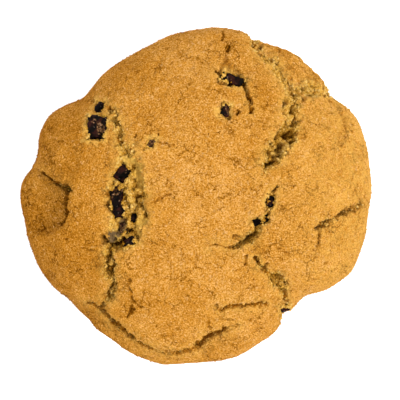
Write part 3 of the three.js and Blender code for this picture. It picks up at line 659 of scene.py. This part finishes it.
# The crown puffs up and sinks. The borders of its steps and cracks waver, as noise shifts them.
wavered = places + waver(points, border_waver)
drop = np.zeros(len(points))
for x, y, reach, height in swells:
    drop -= height * np.sqrt(height_share) * hill(places, x, y, reach)
roughness = np.zeros(len(points))
above_rim = np.maximum(0, points[:, 2] - rim_height) * on_crown
for part in sunken_parts:
    sunk = ease(inside_border(wavered, part["border"]) / part["step"] + 0.5)
    if "ledge" in part:
        flat = part["ledge"] * np.tanh(above_rim / part["ledge"])
        flat += part["slope"] * np.maximum(0, above_rim - part["ledge"])
        left, right = part["ends"]
        full = ease((right - places[:, 0]) / part["fade"]) * ease((places[:, 0] - left) / part["fade"])
        drop += sunk * np.maximum(0, above_rim - flat) * full
    drop += part["fall"] * sunk * above_rim
    roughness = np.maximum(roughness, sunk * part["rough"])
points[:, 2] -= drop

# The crust: broad lumps, then its grain and its wrinkles, which are weaker along the rim.
relief = above_wall * lump_layers(points, broad_relief)
rim_distance = outline_radius(np.degrees(np.arctan2(places[:, 1], places[:, 0]))) - unrolled
off_rim = 1 - rim_smoothness * (1 - ease((np.abs(rim_distance) - 0.5) / rim_smooth_width))
relief += off_rim * above_wall * lump_layers(points, crust_relief)
wrinkled = ease(0.5 + lump_layers(points, wrinkle_zones)) * off_rim * above_wall
for depth, size, seed in wrinkles:
    relief -= depth * wrinkled * ease(1 - np.abs(lumps(points, size, seed)) * size / wrinkle_width)
relief += roughness * lump_layers(points, torn_relief)
relief -= roughness * bubbles(points, *torn_bubbles) * above_wall

# The cracks: the crust rolls down to the opening, the floor is uneven, and the inside is moist crumb
# where the crack is wide and coloured dark where it is narrow, partly browning and partly painted shade.
cut, scorch_and_shade, crumb, crumbly, pale = np.zeros((5, len(points)))
lean = np.zeros((len(points), 2))
for crack in cracks:
    crack = plain_crack | crack
    near, side, half, direction = beside_route(wavered, crack["route"])
    widest = max(point[2] for point in crack["route"])
    deep = deepening * crack["depth"] * np.sqrt(np.maximum(half, 0.05) / widest) * above_wall[near]
    deep *= np.clip(0.85 + lump_layers(points[near], depth_swing), 0.15, 1.4)
    swing = np.clip(0.1 + lump_layers(points[near], width_swing), -0.5, 0.6)
    half += 0.12 + np.minimum(half, 1.2) * swing
    past = np.abs(side) - half
    slope = np.where(side > 0, *crack["slope"])
    opened = ease(0.5 - (past + slope / 2 - 0.18) / slope)
    raise_to(cut, near, deep * opened)
    beyond = np.maximum(past, 0)
    roll = edge_roll * deep * np.exp(-beyond / (0.4 + 0.4 * half))
    lift = np.where(side > 0, *crack["lift"]) * ease(past / 1.4) * np.exp(-beyond / 5)
    relief[near] += (lift - roll) * (past > 0) - edge_roll * deep * (past <= 0)
    moist = crack["moist"] * ease((half - 0.4) / 0.6)
    raise_to(crumb, near, moist * ease((0.3 - past) / 0.5) * ease(deep / 0.8))
    # Painted shade, partly browning: narrow cracks are coloured dark inside.
    browned_and_shaded = crack["browned_and_shaded"] * (1 - moist)
    raise_to(scorch_and_shade, near, browned_and_shaded * ease((0.25 - past) / 0.35) * ease(deep / 0.5))
    raise_to(pale, near, crack["pale"] * np.exp(-beyond / 1.2) * ease(0.3 + past / 0.4))
    raise_to(crumbly, near, crack["pale"] * np.exp(-beyond / 0.9))
    overhang = np.where(side > 0, *crack["lean"]) * (1 - opened) * np.exp(-beyond)
    lean[near] -= direction * (overhang * above_wall[near])[:, None]
for *oval, height in crumb_lumps:
    cut -= height * np.sqrt(np.maximum(0, 1 - oval_share(wavered, *oval) ** 2)) * (cut > 0.5)
cut = np.maximum(cut, 0)
for x, y, radius, depth in pits:
    past = np.hypot(wavered[:, 0] - x, wavered[:, 1] - y) - radius
    hole = ease(0.5 - past / pit_edge) * above_wall
    cut = np.maximum(cut, depth * hole)
    # Painted shade: each pit is coloured dark inside.
    scorch_and_shade = np.maximum(scorch_and_shade, hole)
crumb = np.maximum(crumb, ease(roughness * 1.3 + lump_layers(points, torn_islands) - 0.95))

# Torn crumb is full of bubbles and stands up in small lumps, but for the smooth parts.
smooth = crumb * in_ovals(wavered, smooth_crumb, 1, 0.35)
stained = in_ovals(wavered, stained_crumb, 1, 0.4)
ragged = crumb * (1 - 0.85 * smooth)
relief += ragged * lump_layers(points, crumb_relief)
hollow = ragged * bubbles(points, *crumb_bubbles)
hollow = np.maximum(hollow, 0.7 * ragged * bubbles(points, *small_crumb_bubbles))
relief -= hollow * (0.7 + 0.25 * np.minimum(cut, 2))
relief -= cut

# The wall and base are smooth from the tin, with a few burst bubbles in the wall.
wall_relief = lump_layers(points, wall_lumps) - 0.7 * bubbles(points, *wall_bubbles)
relief += wall_relief * (zone == WALL)
relief[zone > WALL] = 0
points += normals * relief[:, None]
points[:, :2] += lean
points[:, 2] = np.maximum(points[:, 2], 0)

# A chunk of chocolate leaves a pocket. Where it shows, the cake is pushed in under its top; ragged
# crumb covers the rest of it.
for name in chunk_names:
    chunk = cad_points(name)
    middle = (chunk.min(0) + chunk.max(0)) / 2
    on_side = name.startswith("chunk_side")
    pocket = side_pocket if on_side else crown_pocket
    facing = np.array([middle[0], middle[1], 0]) if on_side else np.array([0, 0, 1.0])
    facing /= np.linalg.norm(facing)
    across = np.cross([0, 0, 1.0], facing) if on_side else np.array([1.0, 0, 0])
    up = np.cross(facing, across)
    outline = sorted({(round(p @ across, 3), round(p @ up, 3)) for p in chunk})
    hull = [outline[k] for k in convex_hull_2d([Vector(p) for p in outline])]
    top = (chunk @ facing).max()
    level = points @ facing
    near = (np.linalg.norm(points - middle, axis=1) < pocket_reach) & (level > top - pocket_below)
    level = level[near]
    place = np.stack([points[near] @ across, points[near] @ up], axis=1)
    place += pocket["waver"] * waver(points[near], pocket_waver)
    past = -inside_border(place, hull)
    shown = ease(0.5 - (past - pocket["past_hull"]) / 0.3)
    for smear in pocket["smears"]:
        shown *= ease((oval_share(place, *smear) - 0.85) / 0.3)
    ragged_top = top + cover_height + lump_layers(points[near], cover_relief)
    covered = level + np.maximum(ragged_top - level, 0) * ease(0.5 - (past - 0.1) / 0.5)
    floor = top - pocket_edge_depth - pocket_more_depth * ease(-past / 0.6)
    points[near] += facing * ((np.minimum(floor, level) - covered) * shown + covered - level)[:, None]
    halo = ease((0.4 + lump_layers(points[near], halo_waver) - past) / 0.5)
    wide_halo = ease((1.6 + lump_layers(points[near], wide_halo_waver) - past) / 1.2)
    raise_to(crumb, near, pocket["crumb"] * halo)
    raise_to(pale, near, pocket["pale"] * wide_halo)
    # The pocket under a shown chunk counts as 2 mm deep, which darkens its crumb with painted shade.
    raise_to(cut, near, 2.0 * shown)

# Browning: the crown darkens towards the left, partly browning and partly painted shade of the side
# away from the key light; the rim and the edge of the base browned, and a painted highlight pales the
# right of the crown.
browning = -left_browning_and_shade * points[:, 0] + lump_layers(points, browning_lumps)
# Darker and paler patches: partly browning, partly painted shade and painted light.
for x, y, reach, amount in browned_and_painted_light_patches:
    browning += amount * hill(places, x, y, reach)
near, side, _, _ = beside_route(places, split_line, margin=60)
# Left of the split the crown is darker: partly browning, partly painted shade.
browning[near] += split_browning_and_shade * ease(0.5 - side / 5) * above_wall[near]
at_rim = np.exp(-np.maximum(rim_distance, 0) / 1.2) * on_crown
# The left of the rim is darker still: partly browning, partly painted shade.
browning += (rim_browning - left_rim_browning_and_shade * places[:, 0]) * at_rim
# The scorch colours narrow cracks and pits dark: partly browning, partly painted shade.
browning += scorch_and_shade_browning * scorch_and_shade
# Painted highlight: the right of the crown is coloured paler and duller.
right_highlight_share = ease((places[:, 0] - painted_right_highlight["x"]) / painted_right_highlight["reach"]) * on_crown
browning += painted_right_highlight["browning"] * right_highlight_share
pale = np.maximum(pale, painted_right_highlight["pale"] * right_highlight_share)
tin_depth = np.clip(1 - points[:, 2] / lip_height, 0, 1)
streaks = lump_layers(points * (1, 1, 0.4), streak_lumps)
browning += np.where(zone >= WALL, wall_browning + foot_browning * tin_depth**2 + streaks, 0)
browning += np.where(zone == UNDER_RIM, under_rim_browning, 0)
torn = np.maximum(ease((crumb - 0.4) / 0.3), 0.6 * crumbly) * (1 - smooth) * (1 - stained)
torn *= ease(1.3 - cut / 2.6) * on_crown
bare_crust = ease(1 - crumb / 0.4) * above_wall


def add_object(name, data):
    """An object in the scene for a mesh, a light or a camera."""
    made = bpy.data.objects.new(name, data)
    bpy.context.scene.collection.objects.link(made)
    return made


def shade_smooth(mesh):
    """Shades a mesh's faces as one smooth surface."""
    mesh.polygons.foreach_set("use_smooth", np.ones(len(mesh.polygons), bool))


def new_mesh(name, points, faces):
    """A smooth-shaded mesh from points in millimetres."""
    mesh = bpy.data.meshes.new(name)
    mesh.from_pydata(points * MM, [], faces)
    shade_smooth(mesh)
    return mesh


def keep_values(mesh, **layers):
    """Stores one number per vertex under each name, for the materials to read."""
    for name, values in layers.items():
        layer = mesh.attributes.new(name, "FLOAT", "POINT")
        layer.data.foreach_set("value", np.asarray(values, np.float32))


cake = add_object("cake", new_mesh("cake", points, faces.tolist()))
# depth and hollow also darken the crumb's colour, as painted shade.
keep_values(cake.data, crumb=crumb, pale=pale, browning=browning, depth=cut, smooth=smooth)
keep_values(cake.data, hollow=hollow, stained=stained, torn=torn, crust=bare_crust)


def add_node(tree, kind, inputs=(), **settings):
    """Adds a node; an input is a constant or another node's output."""
    made = tree.nodes.new(kind)
    for name, value in settings.items():
        setattr(made, name, value)
    for key, value in dict(inputs).items():
        if isinstance(value, bpy.types.NodeSocket):
            tree.links.new(value, made.inputs[key])
        else:
            made.inputs[key].default_value = value
    return made


def maths(tree, operation, first, second=0.0, third=0.0, clamp=False):
    """The result of a sum on up to three values."""
    inputs = {0: first, 1: second, 2: third}
    return add_node(tree, "ShaderNodeMath", inputs, operation=operation, use_clamp=clamp).outputs[0]


def add_up(tree, total, parts, middle=0.0):
    """Adds to a value a strength times how far another is above a middle, for each of parts."""
    for value, strength in parts:
        swing = maths(tree, "SUBTRACT", value, middle)
        total = maths(tree, "MULTIPLY_ADD", swing, strength, total)
    return total


def remap(tree, value, low, high):
    """0 to 1 as a value goes from low to high, smoothly, and held outside."""
    inputs = {0: value, 1: low, 2: high}
    return add_node(tree, "ShaderNodeMapRange", inputs, interpolation_type="SMOOTHSTEP").outputs[0]


def mix_colours(tree, factor, first, second):
    """Blends two colours."""
    made = add_node(tree, "ShaderNodeMix", {0: factor, 6: first, 7: second}, data_type="RGBA")
    return made.outputs[2]


def colour_ramp(tree, value, stops):
    """A colour for a value, through stops of position and colour."""
    made = add_node(tree, "ShaderNodeValToRGB", {0: value})
    ramp = made.color_ramp
    while len(ramp.elements) < len(stops):
        ramp.elements.new(0.5)
    for element, (position, colour) in zip(ramp.elements, stops):
        element.position = position
        element.color = (*colour, 1)
    return made.outputs[0]


def noise(tree, where, scale, detail=2.0, rough=0.5, output="Fac"):
    """Noise from 0 to 1; scale is in lumps per metre."""
    inputs = {"Vector": where, "Scale": scale, "Detail": detail, "Roughness": rough}
    return add_node(tree, "ShaderNodeTexNoise", inputs).outputs[output]


def cells(tree, where, scale, feature="F1"):
    """Distance to the nearest of scattered points, or to the edge between two; scale is per metre."""
    inputs = {"Vector": where, "Scale": scale}
    return add_node(tree, "ShaderNodeTexVoronoi", inputs, feature=feature).outputs["Distance"]


def layer(tree, name):
    """A value stored on the mesh."""
    return add_node(tree, "ShaderNodeAttribute", attribute_name=name).outputs["Fac"]


def new_material(name, roughness, specular):
    """A material with one Principled shader: the material, its node tree, the shader, and places."""
    made = bpy.data.materials.new(name)
    made.use_nodes = True
    tree = made.node_tree
    shader = tree.nodes["Principled BSDF"]
    shader.inputs["Roughness"].default_value = roughness
    shader.inputs["Specular IOR Level"].default_value = specular
    return made, tree, shader, add_node(tree, "ShaderNodeTexCoord").outputs["Object"]


def add_bump(tree, shader, height, distance):
    """Fine relief in a material, for what is too small for the mesh."""
    made = add_node(tree, "ShaderNodeBump", {"Strength": 1.0, "Distance": distance, "Height": height})
    tree.links.new(made.outputs[0], shader.inputs["Normal"])


middle_tone = 0.35
crackle_sway = 0.0044
crust_colours = [
    (0.0, (0.90, 0.490, 0.165)), (0.17, (0.78, 0.380, 0.080)), (0.34, (0.66, 0.290, 0.040)),
    (0.5, (0.545, 0.214, 0.017)), (0.66, (0.435, 0.155, 0.006)), (0.83, (0.310, 0.101, 0.002)),
    (1.0, (0.190, 0.057, 0.001)),
]
crumb_colours = [
    (0.10, (0.15, 0.050, 0.002)), (0.28, (0.54, 0.225, 0.014)), (0.43, (0.86, 0.460, 0.060)),
    (0.70, (0.98, 0.660, 0.210)),
]
pale_crust = (0.88, 0.495, 0.100, 1)
smooth_colour = (0.93, 0.56, 0.105, 1)
stain_colour = (0.20, 0.12, 0.05, 1)

crust, tree, shader, where = new_material("baked_crust_and_crumb", 0.75, 0.015)
fine = noise(tree, where, 2700, 3, 0.75)
middling = noise(tree, where, 640, 3, 0.6)
broad = noise(tree, where, 140, 3, 0.55)
tone = add_up(tree, middle_tone, ((layer(tree, "browning"), 1), (layer(tree, "tone"), 1)))
tone = add_up(tree, tone, ((fine, 2.3), (middling, 0.28), (broad, 0.26)), 0.5)

# Short dry cracks and pores, coloured darker as painted shade inside them, and light crystals of sugar
# in the crust.
sway = noise(tree, where, 380, 4, 0.65, "Color")
sway = add_node(tree, "ShaderNodeVectorMath", {0: sway, 3: crackle_sway}, operation="SCALE")
sway = {0: where, 1: sway.outputs[0]}
swayed = add_node(tree, "ShaderNodeVectorMath", sway, operation="ADD").outputs[0]
crackle = remap(tree, cells(tree, swayed, 390, "DISTANCE_TO_EDGE"), 0.055, 0.0)
crackle = maths(tree, "MULTIPLY", crackle, remap(tree, noise(tree, where, 210, 4, 0.65), 0.47, 0.60))
pores = remap(tree, cells(tree, where, 780), 0.26, 0.10)
specks = remap(tree, cells(tree, swayed, 620), 0.24, 0.10)
# Painted shade: the hair cracks and pores are coloured darker.
tone = add_up(tree, tone, ((crackle, 0.50), (pores, 0.06), (specks, -0.42)))
crust_colour = colour_ramp(tree, tone, crust_colours)
pale_share = maths(tree, "MULTIPLY", layer(tree, "pale"), remap(tree, middling, 0.25, 0.65), clamp=True)
crust_colour = mix_colours(tree, pale_share, crust_colour, pale_crust)

# The crumb: yellow, darkened with painted shade deep in the cracks and in its hollows, with paler grains.
crumb_tone = maths(tree, "ADD", fine, layer(tree, "tone"))
# Painted shade: the crumb darkens with depth and in hollows.
crumb_tone = add_up(tree, crumb_tone, ((layer(tree, "depth"), -0.06), (layer(tree, "hollow"), -0.13)))
crumb_colour = colour_ramp(tree, crumb_tone, crumb_colours)
crumb_colour = mix_colours(tree, layer(tree, "smooth"), crumb_colour, smooth_colour)
stain = maths(tree, "MULTIPLY", layer(tree, "stained"), remap(tree, middling, 0.2, 0.5), clamp=True)
crumb_colour = mix_colours(tree, stain, crumb_colour, stain_colour)
crumb_share = remap(tree, add_up(tree, layer(tree, "crumb"), ((middling, 0.8),), 0.5), 0.3, 0.75)
tree.links.new(mix_colours(tree, crumb_share, crust_colour, crumb_colour), shader.inputs["Base Color"])
relief_parts = ((fine, 1.1), (middling, 0.8), (crackle, -0.4), (pores, -0.35), (specks, 0.3))
add_bump(tree, shader, add_up(tree, 0.0, relief_parts), 0.0013)
cake.data.materials.append(crust)
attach(cake, "root")
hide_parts("muffin_cake")


# ----------------------------------------
# Loose grains. Crumbs stand up all over the torn parts, and the crust is sandy with sugar and
# flour that baked onto it. Both are held by the cake they sit in.
# ----------------------------------------

# For each kind: the value on the cake that says where its grains lie, how many of them there are on
# a square millimetre, and their smallest and largest radius.
grain_kinds = {"crumb": ("torn", 4.4, 0.12, 0.38), "crust": ("crust", 0.85, 0.10, 0.21)}

grain_tree = bpy.data.node_groups.new("grains on a surface", "GeometryNodeTree")
sockets = {}
for socket_name, kind in (
    ("Geometry", "Geometry"), ("Grains per square metre", "Float"), ("Where", "String"),
    ("Smallest", "Float"), ("Largest", "Float"), ("Seed", "Int"), ("Material", "Material"),
):
    made = grain_tree.interface.new_socket(socket_name, in_out="INPUT", socket_type="NodeSocket" + kind)
    sockets[socket_name] = made.identifier
grain_tree.interface.new_socket("Geometry", in_out="OUTPUT", socket_type="NodeSocketGeometry")
given = add_node(grain_tree, "NodeGroupInput").outputs


def random_value(low, high):
    """A random number or vector for each grain."""
    is_vector = isinstance(low, tuple)
    first = 0 if is_vector else 2
    inputs = {first: low, first + 1: high, 8: given["Seed"]}
    kind = "FLOAT_VECTOR" if is_vector else "FLOAT"
    made = add_node(grain_tree, "FunctionNodeRandomValue", inputs, data_type=kind)
    return made.outputs[0 if is_vector else 1]


share = add_node(grain_tree, "GeometryNodeInputNamedAttribute", {"Name": given["Where"]}, data_type="FLOAT")
density = maths(grain_tree, "MULTIPLY", share.outputs[0], given["Grains per square metre"])
spread = add_node(grain_tree, "GeometryNodeDistributePointsOnFaces", {
    "Mesh": given["Geometry"], "Density": density, "Seed": given["Seed"],
})
grain = add_node(grain_tree, "GeometryNodeMeshIcoSphere", {"Radius": 1.0, "Subdivisions": 1})
turned = random_value((0.0,) * 3, (math.tau,) * 3)
stretched = random_value((0.6,) * 3, (1.3,) * 3)
radius = random_value(given["Smallest"], given["Largest"])
scale = add_node(grain_tree, "ShaderNodeVectorMath", {0: stretched, 3: radius}, operation="SCALE")
grains = add_node(grain_tree, "GeometryNodeInstanceOnPoints", {
    "Points": spread.outputs["Points"], "Instance": grain.outputs["Mesh"],
    "Rotation": turned, "Scale": scale.outputs[0],
})
grains = add_node(grain_tree, "GeometryNodeStoreNamedAttribute", {
    "Geometry": grains.outputs[0], "Name": "tone", "Value": random_value(-0.2, 0.13),
}, data_type="FLOAT", domain="INSTANCE")
grains = add_node(grain_tree, "GeometryNodeRealizeInstances", {"Geometry": grains.outputs[0]})
grains = add_node(grain_tree, "GeometryNodeSetMaterial", {
    "Geometry": grains.outputs[0], "Material": given["Material"],
})
add_node(grain_tree, "NodeGroupOutput", {"Geometry": grains.outputs[0]})


def make_plain(piece):
    """Turns what a piece's modifiers make of it into its own plain mesh."""
    shaped = bpy.data.meshes.new_from_object(piece.evaluated_get(bpy.context.evaluated_depsgraph_get()))
    piece.modifiers.clear()
    piece.data = shaped
    shade_smooth(shaped)
    return shaped


for seed, (name, (held_by, per_mm2, smallest, largest)) in enumerate(grain_kinds.items(), start=1):
    piece = add_object(name + "_grains", cake.data.copy())
    if name == "crumb":
        loose = np.clip(crumb + 0.75 * crumbly, 0, 1).astype(np.float32)
        piece.data.attributes["crumb"].data.foreach_set("value", loose)
    scatter = piece.modifiers.new("grains", "NODES")
    scatter.node_group = grain_tree
    scatter[sockets["Grains per square metre"]] = per_mm2 / MM**2
    scatter[sockets["Where"]] = held_by
    scatter[sockets["Smallest"]] = smallest * MM
    scatter[sockets["Largest"]] = largest * MM
    scatter[sockets["Seed"]] = seed
    scatter[sockets["Material"]] = crust
    make_plain(piece)
    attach(piece, "root")
    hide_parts("muffin_cake")


# ----------------------------------------
# The chunks of dark chocolate. Broken from a block, softened in the oven so that their corners
# are rounded, and dusted with crumb. Each lies in a pocket of the cake.
# ----------------------------------------

# How far apart the mesh's points lie, a chunk's layers of lumps with their first seeds, its hollows,
# and how much it shrank as it cooled.
chunk_mesh_spacing = 0.2
chunk_relief = [(0.45, 2.2, 61), (0.24, 0.9, 91)]
hollow_spacing, hollow_seed, hollow_radius, hollow_edge, hollow_depth = 1.8, 121, 0.5, 0.4, 0.35
shrinkage = 0.1

# Crumb rubbed onto the chunks: x, y, half length, half width, turn, amount.
dusted_parts = [
    (-23.9, 17.0, 1.3, 1.9, 15, 0.62), (-19.3, 2.4, 1.4, 1.4, 0, 0.72), (-20.4, 0.4, 1.2, 0.8, 40, 0.62),
    (-18.4, -7.2, 1.8, 0.9, 90, 0.7), (8.0, 28.9, 1.0, 0.4, -30, 0.4), (-17.6, 6.3, 0.7, 0.3, 60, 0.45),
    (-18.7, -1.0, 0.5, 1.4, 20, 0.4), (21.8, -27.6, 1, 1, 0, 0.4), (-11.4, 13.2, 2, 2, 0, 0.7),
    (-22.2, 19.0, 0.6, 0.9, 0, 0.4), (7.6, 21.6, 0.9, 1.5, 0, 0.6), (-25.4, 18.9, 1.0, 0.8, 0, 0.45),
]

bare_chocolate = (0.003, 0.002, 0.0016, 1)
smeared_chocolate = (0.022, 0.006, 0.004, 1)
dust_colours = [
    (0.40, (0.035, 0.014, 0.004)), (0.56, (0.10, 0.045, 0.013)), (0.66, (0.20, 0.11, 0.06)),
    (0.74, (0.50, 0.38, 0.30)),
]

chocolate, tree, shader, where = new_material("dark_chocolate", 0.45, 0.03)
broken = noise(tree, where, 1700, 3, 0.7)
smeared = remap(tree, noise(tree, where, 620), 0.46, 0.66)
chocolate_colour = mix_colours(tree, smeared, bare_chocolate, smeared_chocolate)
dust = remap(tree, add_up(tree, broken, ((layer(tree, "dusting"), 0.34),)), 0.66, 0.78)
chocolate_colour = mix_colours(tree, dust, chocolate_colour, colour_ramp(tree, broken, dust_colours))
tree.links.new(chocolate_colour, shader.inputs["Base Color"])
add_bump(tree, shader, broken, 0.0005)

for seed, name in enumerate(chunk_names):
    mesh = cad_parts[name].data.copy()
    piece = add_object(name + "_chocolate", mesh)
    shape = bmesh.new()
    shape.from_mesh(mesh)
    bmesh.ops.remove_doubles(shape, verts=shape.verts, dist=1e-6)
    shape.to_mesh(mesh)
    shape.free()
    remesh = piece.modifiers.new("even mesh", "REMESH")
    remesh.mode = "VOXEL"
    remesh.voxel_size = chunk_mesh_spacing * MM
    soften = piece.modifiers.new("softened edges", "SMOOTH")
    soften.iterations = 4
    soften.factor = 0.5
    shaped = make_plain(piece)
    outer = vertex_values(shaped, "co") / MM
    hollows = bubbles(outer, hollow_spacing, hollow_seed + seed, hollow_radius, hollow_edge)
    relief = lump_layers(outer, chunk_relief, seed) - shrinkage - hollow_depth * hollows
    dusting = in_ovals(outer[:, :2], dusted_parts, 1.2, 0.5)
    outer += vertex_values(shaped, "normal") * relief[:, None]
    shaped.vertices.foreach_set("co", (outer * MM).ravel())
    keep_values(shaped, dusting=dusting * (not name.startswith("chunk_side")))
    shaped.materials.clear()
    shaped.materials.append(chocolate)
    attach(piece, "root")
    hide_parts(name)


# ----------------------------------------
# The floor, the lights and the camera: a plain pale table in a bright studio, seen from above.
# ----------------------------------------

floor_reach = 3000
floor_corners = floor_reach * np.array([(-1, -1, 0), (1, -1, 0), (1, 1, 0), (-1, 1, 0)])
floor = add_object("floor", new_mesh("floor", floor_corners, [(0, 1, 2, 3)]))
paper, _, shader, _ = new_material("pale_table", 0.9, 0.1)
shader.inputs["Base Color"].default_value = (0.93, 0.93, 0.93, 1)
floor.data.materials.append(paper)


def add_light(name, azimuth, elevation, distance, size, power):
    """A square soft light aimed at the muffin."""
    lamp = bpy.data.lights.new(name, "AREA")
    lamp.size = size
    lamp.energy = power
    made = add_object(name, lamp)
    a, e = math.radians(azimuth), math.radians(elevation)
    away = Vector((math.cos(a) * math.cos(e), math.sin(a) * math.cos(e), math.sin(e)))
    made.location = Vector((0, 0, rim_height * MM)) + away * distance
    made.rotation_euler = away.to_track_quat("Z", "Y").to_euler()


add_light("key", azimuth=-20, elevation=50, distance=1.2, size=0.22, power=13.6)
add_light("fill", azimuth=150, elevation=60, distance=1.5, size=1.2, power=5.5)
world = bpy.data.worlds.new("studio")
bpy.context.scene.world = world
world.use_nodes = True
background = world.node_tree.nodes["Background"].inputs
background["Color"].default_value = (1, 1, 1, 1)
background["Strength"].default_value = 1.44

view_width = 0.1004
view_middle = (0.0006, -0.0006)
camera = bpy.data.cameras.new("camera")
camera.lens = 250
camera_distance = view_width * camera.lens / camera.sensor_width
camera_object = add_object("camera", camera)
camera_object.location = (*view_middle, rim_height * MM + camera_distance)
bpy.context.scene.camera = camera_object
bpy.context.scene.view_settings.view_transform = "Standard"
